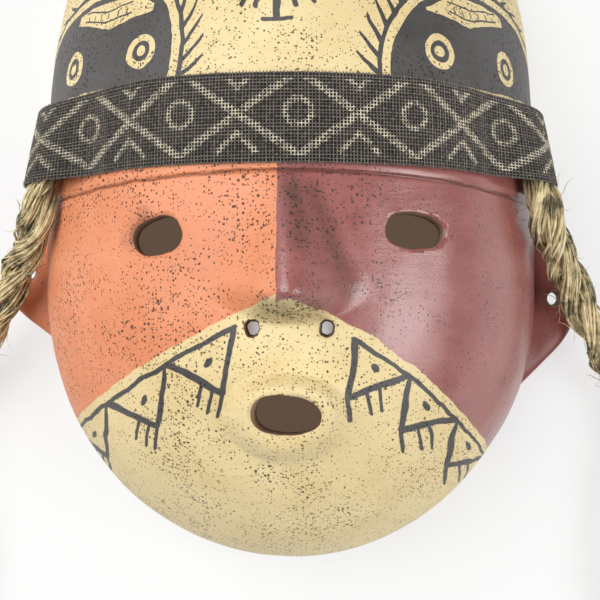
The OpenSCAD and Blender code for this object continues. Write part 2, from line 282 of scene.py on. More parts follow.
temple_out = face_out(BAND_LOW, ROPE_ANGLE)
for name, way in (("left", -1), ("right", 1)):
    turned = Matrix.Diagonal((way, 1, 1))
    flat_way = turned @ temple_out
    start = face_point(BAND_LOW + 1.5, ROPE_ANGLE) + temple_out * (GLUE + 0.1 + ROOT_WIDTH / 2)
    line = [turned @ p for p in smooth_line([start] + ROPE_ROUTE, STEP)]
    place = Vector((0, NOSE_LINE, 0))

    # Three strands, pressed a little flat where the band holds them down.
    bundle, tint_layer = new_bundle()
    flat = (0.22, 16, flat_way)
    lay_rope(bundle, tint_layer, line, lambda d: ROPE_WIDTH / 2 * 0.97, flat=flat, seed=3 + way)
    close_mesh(bundle)
    rope = make_piece(name + "_rope_strands", bundle, rope_fibre, slot="rope_fibre")
    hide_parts(name + "_rope")

    # Broken fibre ends that stand off the rope.
    dice = random.Random(21 + way)
    bundle, tint_layer = new_bundle()
    frames = frames_along(line)
    for hair in range(170):
        point, side, up = frames[dice.randrange(3, len(frames) - 12)]
        turn = dice.uniform(0, 2 * math.pi)
        out = side * math.cos(turn) + up * math.sin(turn)
        heading = side.cross(up) * dice.choice((-1, 1))
        reach = dice.uniform(2, 9)
        lean = dice.uniform(0.3, 1.2)
        strand = [point + out * (4.6 + reach * (t / 6) ** 1.3 * 0.75) + heading * reach * lean * t / 6
                  + side * 0.6 * math.sin(t + turn) for t in range(7)]
        strand = [Vector((p.x, p.y, max(p.z, 0.25))) for p in strand]
        add_fibre(bundle, tint_layer, strand, dice.uniform(0.14, 0.3), dice.uniform(0.3, 1), sides=3)
    close_mesh(bundle)
    hairs = make_piece(name + "_rope_hairs", bundle, rope_fibre, slot="rope_fibre")

    # STOPPERS
    # Five tight turns of a 3 mm fibre cord round the rope's end, which keep it from unlaying.
    twine = 3
    turns = 5
    end = line[-1]
    coil = []
    for i in range(turns * 22 + 1):
        turn = 2 * math.pi * i / 22
        part = i / (turns * 22)
        swell = (ROPE_WIDTH + twine) / 2 - 0.9 * (abs(2 * part - 1)) ** 3
        coil.append(Vector((end.x + swell * math.cos(turn), -128.9 - 12.4 * part, 9.2 + swell * math.sin(turn))))
    bundle, tint_layer = new_bundle()
    lay_rope(bundle, tint_layer, coil, lambda d: twine / 2, lay=14, lanes=8, fibre=0.55, ragged=0.3, seed=31 + way)
    close_mesh(bundle)
    stopper = make_piece(name + "_rope_stopper", bundle, rope_fibre, slot="rope_fibre")
    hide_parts(name + "_rope_knot")

    # TASSELS
    # Past the stopper the strands are left loose, so that their fibres spread and curl.
    bundle, tint_layer = new_bundle()
    for n in range(150):
        turn = 2.4 * n
        inner = 4.6 * math.sqrt((n + 0.5) / 150)
        spread = inner * dice.uniform(1.2, 1.75)
        reach = dice.uniform(15, 21)
        curl = dice.uniform(-0.8, 0.8)
        strand = []
        for t in range(9):
            part = t / 8
            wide = inner + (spread - inner) * part
            strand.append(Vector((
                end.x + wide * math.cos(turn) + curl * math.sin(3 * part),
                end.y + 3 - (reach + 3) * part,
                9.2 + wide * math.sin(turn) + curl * math.sin(2.6 * part + 1))))
        add_fibre(bundle, tint_layer, strand, dice.uniform(0.5, 0.95), dice.random(), sides=4)
    close_mesh(bundle)
    tassel = make_piece(name + "_rope_tassel_fibres", bundle, rope_fibre, slot="loose_fibre")
    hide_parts(name + "_rope_tassel")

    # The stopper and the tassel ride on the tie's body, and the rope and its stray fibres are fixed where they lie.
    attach(stopper, name + "_tie")
    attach(tassel, name + "_tie")
    for soft in (rope, hairs):
        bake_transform(soft)

    # ROPE ROOTS
    # The rope's upper end, thinned and pressed down under the band, where the glue holds it.
    heights = [BAND_LOW + 1.5 + 2 * i for i in range(11)]
    root = []
    for y in heights:
        half = (ROOT_WIDTH + (ROOT_TIP_WIDTH - ROOT_WIDTH) * (y - BAND_LOW) / BAND_WIDTH) / 2
        root.append(turned @ (face_point(y, ROPE_ANGLE) + face_out(y, ROPE_ANGLE) * (GLUE + 0.1 + half)))
    shrink = (ROOT_WIDTH - ROOT_TIP_WIDTH) / BAND_WIDTH / 2
    bundle, tint_layer = new_bundle()
    lay_rope(bundle, tint_layer, root, lambda d: (ROOT_WIDTH / 2 - shrink * d) * 0.94, seed=41 + way)
    close_mesh(bundle)
    held = make_piece(name + "_rope_held_end", bundle, rope_fibre, slot="rope_fibre")
    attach(held, "mask")
    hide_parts(name + "_rope_root")

# MASK SHELL
# One thin dome of fired clay, pressed in a mould with its nose and lip, then cut open at the eyes,
# nostrils and mouth while leather-hard, scored with a line above the brow and burnished.
WALL = 5.5
NOSE_TOP = 35
NOSE_TIP = 1
GROOVE_Y = 35.2
MOUTH = (-1, -34)


def nose_height(x, y):
    """How far the nose stands out of the face."""
    t = (NOSE_TOP - y) / (NOSE_TOP - NOSE_TIP)
    if t <= 0 or y < -12:
        return 0
    ridge = 15.5 * t
    under = 2.1 * max(0, y + 8.2 - 0.014 * x * x)
    soft = 2.4
    high = min(ridge, under) - soft * math.log(1 + math.exp(-abs(ridge - under) / soft))
    wide = (7 if x > 0 else 9) + 14 * min(1, t)
    off = (math.hypot(x, 4) - 4) / wide
    return max(0, high) * max(0, 1 - off) ** 1.7


def lip_height(x, y):
    """How far the swelling round the mouth stands out: steep below, soft above."""
    below = y < MOUTH[1]
    r = math.hypot((x - MOUTH[0]) / 12.8, (y - MOUTH[1]) / (10.3 if below else 8.4))
    if r < 0.88:
        return 6.8 - 6 * (0.88 - r) ** 2
    return 6.8 * max(0, 1 - ((r - 0.88) / 0.6) ** 2) ** (1.05 if below else 1.7)


def groove_depth(y):
    """The scored line above the brow, and the slightly raised strip between it and the band."""
    off = y - GROOVE_Y
    return 0.35 * math.exp(-((off - 2.2) / 1.3) ** 2) - 0.9 * math.exp(-(off / 0.42) ** 2)


def clay_point(y, angle):
    """A point of the modelled outer face, with the small unevenness of work by hand."""
    near = math.exp(-((y - GROOVE_Y) / 9) ** 2)
    plain = face_point(y, angle)
    point = face_point(y - 0.0009 * plain.x ** 2 * near, angle)
    out = Vector((point.x / HALF_WIDTH ** 2, 0.25 * y / 100 ** 2, point.z / FACE_DEPTH ** 2)).normalized()
    edge = min(1, point.z / 12)
    uneven = 0.55 * noise.noise(point / 31) + 0.14 * noise.noise(point / 9) + 0.03 * noise.noise(point / 3)
    point += out * edge * (uneven + groove_depth(y))
    if point.z > 50:
        point.z += nose_height(point.x, point.y) + lip_height(point.x, point.y)
    return point


def front_height(x, y):
    """Height of the modelled face above the rim at a place, without the unevenness."""
    width = max(1e-6, face_width(y))
    plain = face_height(y) * math.sqrt(max(0, 1 - (x / width) ** 2))
    return plain + (nose_height(x, y) + lip_height(x, y) if plain > 50 else 0)


def spread(stretches):
    """Values through several stretches, each given as a function of 0..1 and a count."""
    values = []
    for curve, count in stretches:
        values += [curve(i / count) for i in range(count)]
    return values + [stretches[-1][0](1)]


chin_turn = math.acos(48 / CHIN_DROP)
crown_turn = math.asin((66 / CROWN_RISE) ** (CROWN_SQUARE / 2))
rows = spread([
    (lambda t: -CHIN_DROP * math.cos(chin_turn * t), 46),
    (lambda t: -48 + 78 * t, 104),
    (lambda t: 30 + 9 * t, 30),
    (lambda t: 39 + 27 * t, 12),
    (lambda t: CROWN_RISE * math.sin(crown_turn + (math.pi / 2 - crown_turn) * t) ** (2 / CROWN_SQUARE), 86),
])
middle = math.acos(28 / HALF_WIDTH)
outer_angles = spread([
    (lambda t: middle * t, 62),
    (lambda t: middle + (math.pi - 2 * middle) * t, 74),
    (lambda t: math.pi - middle + middle * t, 62),
])
inner_angles = spread([(lambda t: math.pi * (1 - t), 36)])
ring = [("out", a) for a in outer_angles] + [("in", a) for a in inner_angles]

mesh = bmesh.new()
row_count, ring_count = len(rows), len(ring)
grid = bmesh.ops.create_grid(mesh, x_segments=ring_count, y_segments=row_count - 1, size=0.5)["verts"]
rim_round = 1.5
for vert in grid:
    row = round((vert.co.y + 0.5) * (row_count - 1))
    place = round((vert.co.x + 0.5) * ring_count) % ring_count
    side, angle = ring[place]
    y = rows[row]
    if side == "out":
        vert.co = clay_point(y, angle)
    else:
        inner_y = y * (CHIN_DROP - WALL) / CHIN_DROP if y < 0 else y * (CROWN_RISE - WALL) / CROWN_RISE
        inside = face_point(inner_y, angle, WALL)
        vert.co = inside + Vector((0, 0, 0.6 * noise.noise(inside / 14) * min(1, inside.z / 12)))
close_mesh(mesh)

# The rim's two edges are rubbed round with a wet finger.
rim = [e for e in mesh.edges if all(abs(v.co.z) < 0.01 for v in e.verts) and len(e.link_faces) == 2
       and abs(e.calc_face_angle(0)) > 1.2]
bmesh.ops.bevel(mesh, geom=rim, offset=rim_round, segments=3, profile=0.5, affect="EDGES", material=-1,
                clamp_overlap=True, offset_type="OFFSET")
for one in mesh.faces:
    one.smooth = True
    middle_point = one.calc_center_median()
    one.material_index = 1 if one.normal.dot(Vector((middle_point.x, middle_point.y - 20, middle_point.z))) < 0 else 0


def egg_outline(centre, width, height, tilt=0, fuller=0.12, steps=72):
    """Points of an egg-shaped opening as offsets from its centre, fuller at its right end."""
    turn = math.radians(tilt)
    points = []
    for i in range(steps):
        a = 2 * math.pi * i / steps
        x = width / 2 * math.copysign(abs(math.cos(a)) ** 0.85, math.cos(a))
        y = height / 2 * math.copysign(abs(math.sin(a)) ** 0.85, math.sin(a)) * (1 + fuller * math.cos(a))
        points.append(Vector((x * math.cos(turn) - y * math.sin(turn), x * math.sin(turn) + y * math.cos(turn))))
    return points


def cutter_for(centre, outline, soft, slant, wander, taper=0):
    """A closed plug whose wall flares out where it meets the face, which rounds the cut edge."""
    levels = [-3.0, 0.0] + [soft * (1 - math.cos(math.radians(t))) for t in (30, 45, 60, 75, 90)] + [4, 9, 18]
    plug = bmesh.new()
    depth = plug.verts.layers.float.new("depth")
    count = len(outline)
    made = bmesh.ops.create_grid(plug, x_segments=count, y_segments=len(levels) - 1, size=0.5)["verts"]
    for vert in made:
        level = levels[round((vert.co.y + 0.5) * (len(levels) - 1))]
        i = round((vert.co.x + 0.5) * count) % count
        away = outline[i].normalized()
        deep = min(1, max(0, level) / soft)
        flare = soft * (1 - math.sqrt(max(0, 1 - (1 - deep) ** 2))) * 0.85 + (0.9 * soft if level < 0 else 0)
        rough = wander * noise.noise(Vector((away.x * 2.2, away.y * 2.2, centre[0])))
        narrow = 1 - taper * min(10, max(0, level)) / 10
        flat_place = Vector(centre) + outline[i] * narrow + away * (flare + rough)
        high = front_height(flat_place.x, flat_place.y)
        shift = Vector(slant) * max(0, level)
        vert.co = (flat_place.x + shift.x, flat_place.y + shift.y, high - level)
        vert[depth] = level
    bmesh.ops.remove_doubles(plug, verts=plug.verts, dist=1e-4)
    bmesh.ops.holes_fill(plug, edges=plug.edges)
    bmesh.ops.recalc_face_normals(plug, faces=plug.faces)
    for one in plug.faces:
        one.smooth = True
        one.material_index = 1 if max(v[depth] for v in one.verts) > 0.6 * soft else 0
    return plug


def cut_out(piece, plugs):
    """Cuts each plug out of a piece and keeps the result as the piece's own mesh."""
    for plug in plugs:
        bmesh.ops.transform(plug, matrix=Matrix.Scale(MM, 4) @ Matrix.Translation((0, NOSE_LINE, 0)),
                            verts=plug.verts)
        data = bpy.data.meshes.new("plug")
        plug.to_mesh(data)
        plug.free()
        for material in piece.data.materials:
            data.materials.append(material)
        tool = bpy.data.objects.new("plug", data)
        scene.collection.objects.link(tool)
        cut = piece.modifiers.new("cut", "BOOLEAN")
        cut.operation, cut.solver, cut.object = "DIFFERENCE", "EXACT", tool
        bpy.context.view_layer.update()
        made = bpy.data.meshes.new_from_object(piece.evaluated_get(bpy.context.evaluated_depsgraph_get()))
        piece.modifiers.clear()
        piece.data = made
        bpy.data.objects.remove(tool)


left_eye = cutter_for((-38.5, 17), egg_outline((0, 0), 15.2, 11.0, 14, 0.06), 1.0, (0.13, -0.06), 0.35)
right_eye = cutter_for((36.4, 18.5), egg_outline((0, 0), 17.4, 10.2, -4, -0.10), 1.0, (-0.12, -0.06), 0.35)
mouth = cutter_for(MOUTH, egg_outline((0, 0), 19.8, 11.6, -4, -0.08), 0.8, (0.09, -0.05), 0.25)
nostrils = [cutter_for((side * 10.6, -9.5), egg_outline((0, 0), 4.4, 5.2, 0, 0), 0.6, (0.05, 0.0), 0.3, 0.5)
            for side in (-1, 1)]

# Slip on fired clay: a fine liquid clay brushed on and rubbed with a smooth stone before firing,
# so it has a soft sheen, faint rubbing marks and soot specks. The dark lines are mineral paint.
painted_clay, tree = new_material("burnished_slip_painted_clay")
MATH = "ShaderNodeMath"
VECTOR = "ShaderNodeVectorMath"
spot = add(tree, "ShaderNodeTexCoord", (), out=3)
clay_mm = add(tree, "ShaderNodeMapping", {"Vector": spot, "Location": (0, -NOSE_LINE, 0), "Scale": (1 / MM,) * 3})
waver = add(tree, "ShaderNodeTexNoise", {"Vector": clay_mm, "Scale": 0.11, "Detail": 2}, out=1)
waver = add(tree, VECTOR, [waver, (0.5, 0.5, 0.5)], operation="SUBTRACT")
brushed = add(tree, VECTOR, [waver, (2.2, 2.2, 2.2), clay_mm], operation="MULTIPLY_ADD")
parts = add(tree, "ShaderNodeSeparateXYZ", [brushed])
x, y, z = tree.nodes[-1].outputs
ax = add(tree, MATH, [x], operation="ABSOLUTE")
right = add(tree, MATH, [x, -3.5], operation="GREATER_THAN")


def by_side(tree, left_value, right_value):
    """One number on the left half of the face and another on the right half."""
    return add(tree, MATH, [right, right_value - left_value, left_value], operation="MULTIPLY_ADD")


def stroke_gap(tree, point, strokes):
    """How far a point is from the nearest painted stroke, each given by its two ends and half width."""
    nearest = None
    for ax_, ay_, bx_, by_, half in strokes:
        along = Vector((bx_ - ax_, by_ - ay_, 0))
        away = add(tree, VECTOR, [point, (ax_, ay_, 0)], operation="SUBTRACT")
        share = add(tree, VECTOR, [away, along / max(1e-6, along.length_squared)], out=1, operation="DOT_PRODUCT")
        share = add(tree, MATH, [share, 0], operation="ADD", use_clamp=True)
        foot = add(tree, VECTOR, {0: along, "Scale": share}, operation="SCALE")
        gap = add(tree, VECTOR, [away, foot], out=1, operation="DISTANCE")
        gap = add(tree, MATH, [gap, half], operation="SUBTRACT")
        nearest = gap if nearest is None else add(tree, MATH, [nearest, gap], operation="MINIMUM")
    return nearest


# The cream slip covers the chin up to a line that falls from the nose to each cheek, and the cap.
slope = add(tree, MATH, [ax, by_side(tree, 0.0026, 0.0068), by_side(tree, 0.40, 0.30)], operation="MULTIPLY_ADD")
fall = add(tree, MATH, [ax, slope], operation="MULTIPLY")
edge = add(tree, MATH, [by_side(tree, 1.5, -1.2), fall], operation="SUBTRACT")
below_edge = add(tree, MATH, [edge, y], operation="SUBTRACT")
chin = add(tree, "ShaderNodeMapRange", {"Value": below_edge, "From Min": -0.2, "From Max": 0.2})
cap = add(tree, MATH, [y, 50], operation="GREATER_THAN")
cream_part = add(tree, MATH, [chin, cap], operation="MAXIMUM")

# Cheeks: three hanging wedges a side under a line, each with a dot and two ticks.
down = add(tree, MATH, [below_edge, 4], operation="SUBTRACT")
along = add(tree, MATH, [ax, by_side(tree, 15.6, 18.6)], operation="SUBTRACT")
along = add(tree, MATH, [down, by_side(tree, 0, 0.25), along], operation="MULTIPLY_ADD")
wedge = by_side(tree, 20.3, 16)
cell = add(tree, MATH, [along, wedge], operation="DIVIDE")
cell = add(tree, MATH, [cell, 0], operation="MAXIMUM")
cell = add(tree, MATH, [cell, 2], operation="MINIMUM")
cell = add(tree, MATH, [cell], operation="FLOOR")
shift = add(tree, MATH, [cell, wedge], operation="MULTIPLY")
inside = add(tree, MATH, [along, shift], operation="SUBTRACT")
in_cell = add(tree, "ShaderNodeCombineXYZ", [inside, down])
on_line = add(tree, "ShaderNodeCombineXYZ", [along, down])
left_marks = [(0, 0, 3.5, 17, 0.95), (3.5, 17, 5, 23, 0.7), (20.3, 0, 3.5, 17, 0.85), (7.5, 6.3, 7.6, 6.8, 1.1),
              (9.5, 11.5, 11, 17, 0.6), (6.5, 14.5, 8, 20.5, 0.6)]
right_marks = [(0, 0, 2.8, 17.5, 0.95), (2.8, 17.5, 4.8, 24, 0.7), (16, 0, 2.8, 17.5, 0.85), (6.75, 4.3, 6.9, 4.8, 1.1),
               (6.8, 12.7, 9.9, 18.6, 0.6), (9.9, 9.7, 12.4, 15.8, 0.6)]
left_gap = add(tree, MATH, [stroke_gap(tree, in_cell, left_marks),
                            stroke_gap(tree, on_line, [(0, 0, 60.9, 0, 0.85)])], operation="MINIMUM")
right_gap = add(tree, MATH, [stroke_gap(tree, in_cell, right_marks),
                             stroke_gap(tree, on_line, [(0, 0, 48, 0, 0.85)])], operation="MINIMUM")
cheek_gap = add(tree, "ShaderNodeMix", {0: right, 2: left_gap, 3: right_gap})

# Cap: over each temple a dark arch with two rings and a crescent, edged by a cream and a dark line
# with a fringe, in lengths over the dome.
lean = add(tree, MATH, [ax, z], operation="ARCTAN2")
over = add(tree, MATH, [lean, 82], operation="MULTIPLY")
CAP_LOW = BAND_LOW + BAND_WIDTH
ARCH_MIDDLE = 62
ARCH_HIGH = 30
from_middle = add(tree, MATH, [over, ARCH_MIDDLE], operation="SUBTRACT")
up_cap = add(tree, MATH, [y, CAP_LOW], operation="SUBTRACT")
inner_side = add(tree, MATH, [from_middle, 0], operation="LESS_THAN")
arch_half = add(tree, "ShaderNodeMix", {0: inner_side, 2: 50.0, 3: by_side(tree, 26.5, 33.0)})
arch_power = add(tree, "ShaderNodeMix", {0: inner_side, 2: 2.0, 3: by_side(tree, 3, 2)})
share_x = add(tree, MATH, [add(tree, MATH, [from_middle], operation="ABSOLUTE"), arch_half], operation="DIVIDE")
share_y = add(tree, MATH, [add(tree, MATH, [up_cap, 0], operation="MAXIMUM"), ARCH_HIGH], operation="DIVIDE")
power_x = add(tree, MATH, [share_x, arch_power], operation="POWER")
power_y = add(tree, MATH, [share_y, arch_power], operation="POWER")
reach = add(tree, MATH, [power_x, power_y], operation="ADD")
reach = add(tree, MATH, [reach, add(tree, MATH, [1, arch_power], operation="DIVIDE")], operation="POWER")
arch_place = add(tree, "ShaderNodeCombineXYZ", [from_middle, up_cap])
radius = add(tree, VECTOR, [arch_place], out=1, operation="LENGTH")
outside = add(tree, MATH, [1, add(tree, MATH, [reach, 0.05], operation="MAXIMUM")], operation="DIVIDE")
outside = add(tree, MATH, [1, outside], operation="SUBTRACT")
outside = add(tree, MATH, [outside, radius], operation="MULTIPLY")
arch_turn = add(tree, MATH, [up_cap, from_middle], operation="ARCTAN2")
fringe_at = add(tree, MATH, [arch_turn, by_side(tree, -29, -32)], operation="MULTIPLY")
fringe_at = add(tree, MATH, [outside, -0.75, fringe_at], operation="MULTIPLY_ADD")
fringe_at = add(tree, MATH, [fringe_at, 4.7 / 2], operation="PINGPONG")
fringe_long = add(tree, "ShaderNodeMix", {0: inner_side, 2: 7.0, 3: 10.5})
fringe_wide = add(tree, "ShaderNodeMapRange", {"Value": outside, "From Min": 4, "From Max": fringe_long,
                                               "To Min": 0.95, "To Max": 0.4})
in_fringe = add(tree, MATH, [fringe_at, fringe_wide], operation="LESS_THAN")
near_arch = add(tree, MATH, [outside, fringe_long], operation="LESS_THAN")
in_fringe = add(tree, MATH, [in_fringe, near_arch], operation="MULTIPLY")
past_line = add(tree, MATH, [outside, 2.7], operation="GREATER_THAN")
in_line = add(tree, MATH, [outside, 4.2], operation="LESS_THAN")
fringe = add(tree, MATH, [add(tree, MATH, [in_line, in_fringe], operation="MAXIMUM"), past_line], operation="MULTIPLY")
arch = add(tree, MATH, [outside, 0], operation="LESS_THAN")

cap_place = add(tree, "ShaderNodeCombineXYZ", [over, y])
cream_marks = None
for ring_s, ring_y in ((46.5, 73), (78.5, 72)):
    away = add(tree, VECTOR, [cap_place, (ring_s, ring_y, 0)], out=1, operation="DISTANCE")
    for low, high in ((-1, 1.75), (3.4, 5.5)):
        hit = add(tree, MATH, [away, (low + high) / 2, (high - low) / 2], operation="COMPARE")
        cream_marks = hit if cream_marks is None else add(tree, MATH, [cream_marks, hit], operation="MAXIMUM")
crescent_low = add(tree, MATH, [over, 62], operation="SUBTRACT")
crescent_low = add(tree, MATH, [crescent_low], operation="ABSOLUTE")
crescent_low = add(tree, MATH, [crescent_low, 0.22, 82.5], operation="MULTIPLY_ADD")
crescent = add(tree, MATH, [y, crescent_low], operation="GREATER_THAN")
crescent = add(tree, MATH, [crescent, add(tree, MATH, [outside, -2.2], operation="LESS_THAN")], operation="MULTIPLY")
middle_crescent = add(tree, MATH, [over, 63, 18.0], operation="COMPARE")
crescent = add(tree, MATH, [crescent, middle_crescent], operation="MULTIPLY")
teeth = [(54, 86.6, 64, 84.9, 0.28), (64, 84.9, 77, 87.2, 0.28), (54, 90, 64, 88.4, 0.28), (64, 88.4, 77, 90, 0.28)]
teeth += [(56 + 3.8 * n, 86.1 + 0.2 * abs(n - 2), 56 + 3.8 * n, 87.6 + 0.2 * abs(n - 2), 0.28) for n in range(6)]
in_teeth = add(tree, MATH, [stroke_gap(tree, cap_place, teeth), 0], operation="LESS_THAN")
no_teeth = add(tree, MATH, [1, in_teeth], operation="SUBTRACT")
crescent = add(tree, MATH, [crescent, no_teeth], operation="MULTIPLY")
cream_marks = add(tree, MATH, [cream_marks, crescent], operation="MAXIMUM")
no_marks = add(tree, MATH, [1, cream_marks], operation="SUBTRACT")
arch = add(tree, MATH, [arch, no_marks], operation="MULTIPLY")
arches = add(tree, MATH, [arch, fringe], operation="MAXIMUM")

# Cap, middle: a stem on a foot, with slanting rays.
sprig = [(-7.6, 80.6, 0.5, 80.6, 0.65), (-3.7, 81, -3.7, 100, 1.1)]
sprig += [(tip_x, tip_y, -3.7 + 0.12 * (tip_x + 3.7), 102, 0.8)
          for tip_x, tip_y in ((-9.9, 84.4), (-14.2, 85.2), (1.9, 84.6), (7.1, 86.1))]
flat_place = add(tree, "ShaderNodeCombineXYZ", [x, y])
sprig_gap = stroke_gap(tree, flat_place, sprig)
mark_gap = add(tree, MATH, [cheek_gap, sprig_gap], operation="MINIMUM")
marks = add(tree, "ShaderNodeMapRange", {"Value": mark_gap, "From Min": 0.12, "From Max": -0.12})
on_chin_or_cap = add(tree, MATH, [marks, cream_part], operation="MULTIPLY")
arches = add(tree, MATH, [arches, add(tree, MATH, [y, CAP_LOW - 1], operation="GREATER_THAN")], operation="MULTIPLY")
dark_paint = add(tree, MATH, [on_chin_or_cap, arches], operation="MAXIMUM")

# Colours of the slips, each cloudy where the brush left it thinner.
clouds = add(tree, "ShaderNodeTexNoise", {"Vector": clay_mm, "Scale": 0.055, "Detail": 5, "Roughness": 0.6})
clouds = add(tree, "ShaderNodeMapRange", {"Value": clouds, "From Min": 0.3, "From Max": 0.7})
streaks = add(tree, "ShaderNodeMapping", {"Vector": clay_mm, "Scale": (0.05, 0.6, 0.2)})
streaks = add(tree, "ShaderNodeTexNoise", {"Vector": streaks, "Scale": 1.0, "Detail": 3})
streaks = add(tree, "ShaderNodeMapRange", {"Value": streaks, "From Min": 0.3, "From Max": 0.7})
cloudy = add(tree, "ShaderNodeMix", {0: 0.2, 2: clouds, 3: streaks})
orange = add(tree, "ShaderNodeMix", {0: cloudy, 6: tone("#DA8459"), 7: tone("#E8976E")}, out=2, data_type="RGBA")
maroon = add(tree, "ShaderNodeMix", {0: cloudy, 6: tone("#8A4A45"), 7: tone("#A2635E")}, out=2, data_type="RGBA")
cream = add(tree, "ShaderNodeMix", {0: cloudy, 6: tone("#DDC48C"), 7: tone("#EBD8A6")}, out=2, data_type="RGBA")
halves = add(tree, "ShaderNodeMix", {0: right, 6: orange, 7: maroon}, out=2, data_type="RGBA")
slips = add(tree, "ShaderNodeMix", {0: cream_part, 6: halves, 7: cream}, out=2, data_type="RGBA")
# Painted shade: the scored line above the brow is darkened to brown along its length.
groove_shade = add(tree, MATH, [x, x], operation="MULTIPLY")
groove_shade = add(tree, MATH, [groove_shade, 0.0009, y], operation="MULTIPLY_ADD")
groove_shade = add(tree, MATH, [groove_shade, GROOVE_Y], operation="SUBTRACT")
groove_shade = add(tree, MATH, [groove_shade], operation="ABSOLUTE")
groove_shade = add(tree, "ShaderNodeMapRange", {"Value": groove_shade, "From Min": 0.7, "From Max": 0.15, "To Max": 0.62})
slips = add(tree, "ShaderNodeMix", {0: groove_shade, 6: slips, 7: tone("#4A2B1E")}, out=2, data_type="RGBA")
slate = add(tree, "ShaderNodeMix", {0: cloudy, 6: tone("#403E3C"), 7: tone("#575554")}, out=2, data_type="RGBA")
painted = add(tree, "ShaderNodeMix", {0: dark_paint, 6: slips, 7: slate}, out=2, data_type="RGBA")

# Painted shade, partly soot: a darker brown along the creases beside the nose, under its tip and by the left eye's
# outer corner, where shade falls; it also crowds the soot specks there.
shaded_creases = [(1, 30, 3, 16, 1.0), (6, 29, 17, 2, 0.3), (-7, -4.5, 7, -4.5, 1.0), (-46.5, 16, -43, 22.5, 0.2)]
soot_and_shade = add(tree, "ShaderNodeMapRange", {"Value": stroke_gap(tree, flat_place, shaded_creases), "From Min": 4.2, "From Max": 0,
                                        "To Max": 0.8})
soot_and_shade = add(tree, MATH, [soot_and_shade, clouds], operation="MULTIPLY")

# Soot specks from 0.3 to 1.6 mm, thick in some places and missing in others.
crowd = add(tree, "ShaderNodeTexNoise", {"Vector": clay_mm, "Scale": 0.045, "Detail": 3})
crowd = add(tree, "ShaderNodeMapRange", {"Value": crowd, "From Min": 0.34, "From Max": 0.58, "To Min": 0.55})
bare = add(tree, "ShaderNodeMapRange", {"Value": x, "From Min": 22, "From Max": 50, "To Min": 0, "To Max": 0.2})
bare = add(tree, MATH, [bare, add(tree, MATH, [1, cream_part], operation="SUBTRACT")], operation="MULTIPLY")
crowd = add(tree, MATH, [crowd, bare], operation="SUBTRACT", use_clamp=True)
crowd = add(tree, MATH, [soot_and_shade, 0.7, crowd], operation="MULTIPLY_ADD")
ragged = add(tree, "ShaderNodeTexNoise", {"Vector": clay_mm, "Scale": 2.2, "Detail": 2}, out=1)
ragged = add(tree, VECTOR, [ragged, (0.6, 0.6, 0.6), clay_mm], operation="MULTIPLY_ADD")
specks = None
for pitch, size, rare in ((0.75, 0.55, 1.6), (1.4, 0.40, 2.0), (4.2, 0.17, 3.0)):
    cells = add(tree, "ShaderNodeTexVoronoi", {"Vector": ragged, "Scale": 1 / pitch, "Randomness": 1})
    away, chance = tree.nodes[-1].outputs[0], tree.nodes[-1].outputs[1]
    chance = add(tree, "ShaderNodeSeparateXYZ", [chance])
    grow = add(tree, MATH, [chance, rare], operation="POWER")
    grow = add(tree, MATH, [grow, crowd], operation="MULTIPLY")
    grow = add(tree, MATH, [grow, size], operation="MULTIPLY")
    hit = add(tree, MATH, [away, grow], operation="SUBTRACT")
    hit = add(tree, "ShaderNodeMapRange", {"Value": hit, "From Min": 0.02, "From Max": -0.06, "To Max": 0.88})
    specks = hit if specks is None else add(tree, MATH, [specks, hit], operation="MAXIMUM")
# Painted shade, partly soot: the crease darkening mixed into the slip colour.
shade_and_soot_colour = add(tree, "ShaderNodeMix", {0: soot_and_shade, 6: painted, 7: tone("#4A342A")}, out=2, data_type="RGBA")
specked = add(tree, "ShaderNodeMix", {0: specks, 6: shade_and_soot_colour, 7: tone("#261C14")}, out=2, data_type="RGBA")

gloss = add(tree, MATH, [right, add(tree, MATH, [1, cream_part], operation="SUBTRACT")], operation="MULTIPLY")
rough = add(tree, MATH, [gloss, -0.21, 0.46], operation="MULTIPLY_ADD")
shine = add(tree, MATH, [gloss, 0.40, 0.5], operation="MULTIPLY_ADD")
rough = add(tree, MATH, [cloudy, 0.10, rough], operation="MULTIPLY_ADD")
rough = add(tree, MATH, [specks, 0.2, rough], operation="MULTIPLY_ADD")
grain = add(tree, "ShaderNodeTexNoise", {"Vector": clay_mm, "Scale": 1.6, "Detail": 3})
rubbed = add(tree, MATH, [streaks, 0.5, grain], operation="MULTIPLY_ADD")
bump = add(tree, "ShaderNodeBump", {"Strength": 0.25, "Distance": 0.0002, "Height": rubbed})
shader = add(tree, "ShaderNodeBsdfPrincipled", {"Base Color": specked, "Roughness": rough, "Normal": bump,
                                               "Specular IOR Level": shine})
add(tree, "ShaderNodeOutputMaterial", {"Surface": shader})

# Bare fired clay, seen inside and in the cut edges: matt brown terracotta, gritty and smoke-stained.
bare_clay, tree = new_material("bare_terracotta")
spot = add(tree, "ShaderNodeTexCoord", (), out=3)
stains = add(tree, "ShaderNodeTexNoise", {"Vector": spot, "Scale": 45, "Detail": 5, "Roughness": 0.65})
stains = add(tree, "ShaderNodeMapRange", {"Value": stains, "From Min": 0.3, "From Max": 0.7})
colour = add(tree, "ShaderNodeMix", {0: stains, 6: tone("#6E5544"), 7: tone("#A88A70")}, out=2, data_type="RGBA")
grit = add(tree, "ShaderNodeTexNoise", {"Vector": spot, "Scale": 900, "Detail": 3})
bump = add(tree, "ShaderNodeBump", {"Strength": 0.5, "Distance": 0.0003, "Height": grit})
shader = add(tree, "ShaderNodeBsdfPrincipled", {"Base Color": colour, "Roughness": 0.85, "Normal": bump})
add(tree, "ShaderNodeOutputMaterial", {"Surface": shader})

shell = make_piece("moulded_face", mesh, painted_clay, bare_clay, slot="painted_clay")
cut_out(shell, [left_eye, right_eye, mouth] + nostrils)
shell.name = "moulded_face"
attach(shell, "mask")
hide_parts("mask_shell")

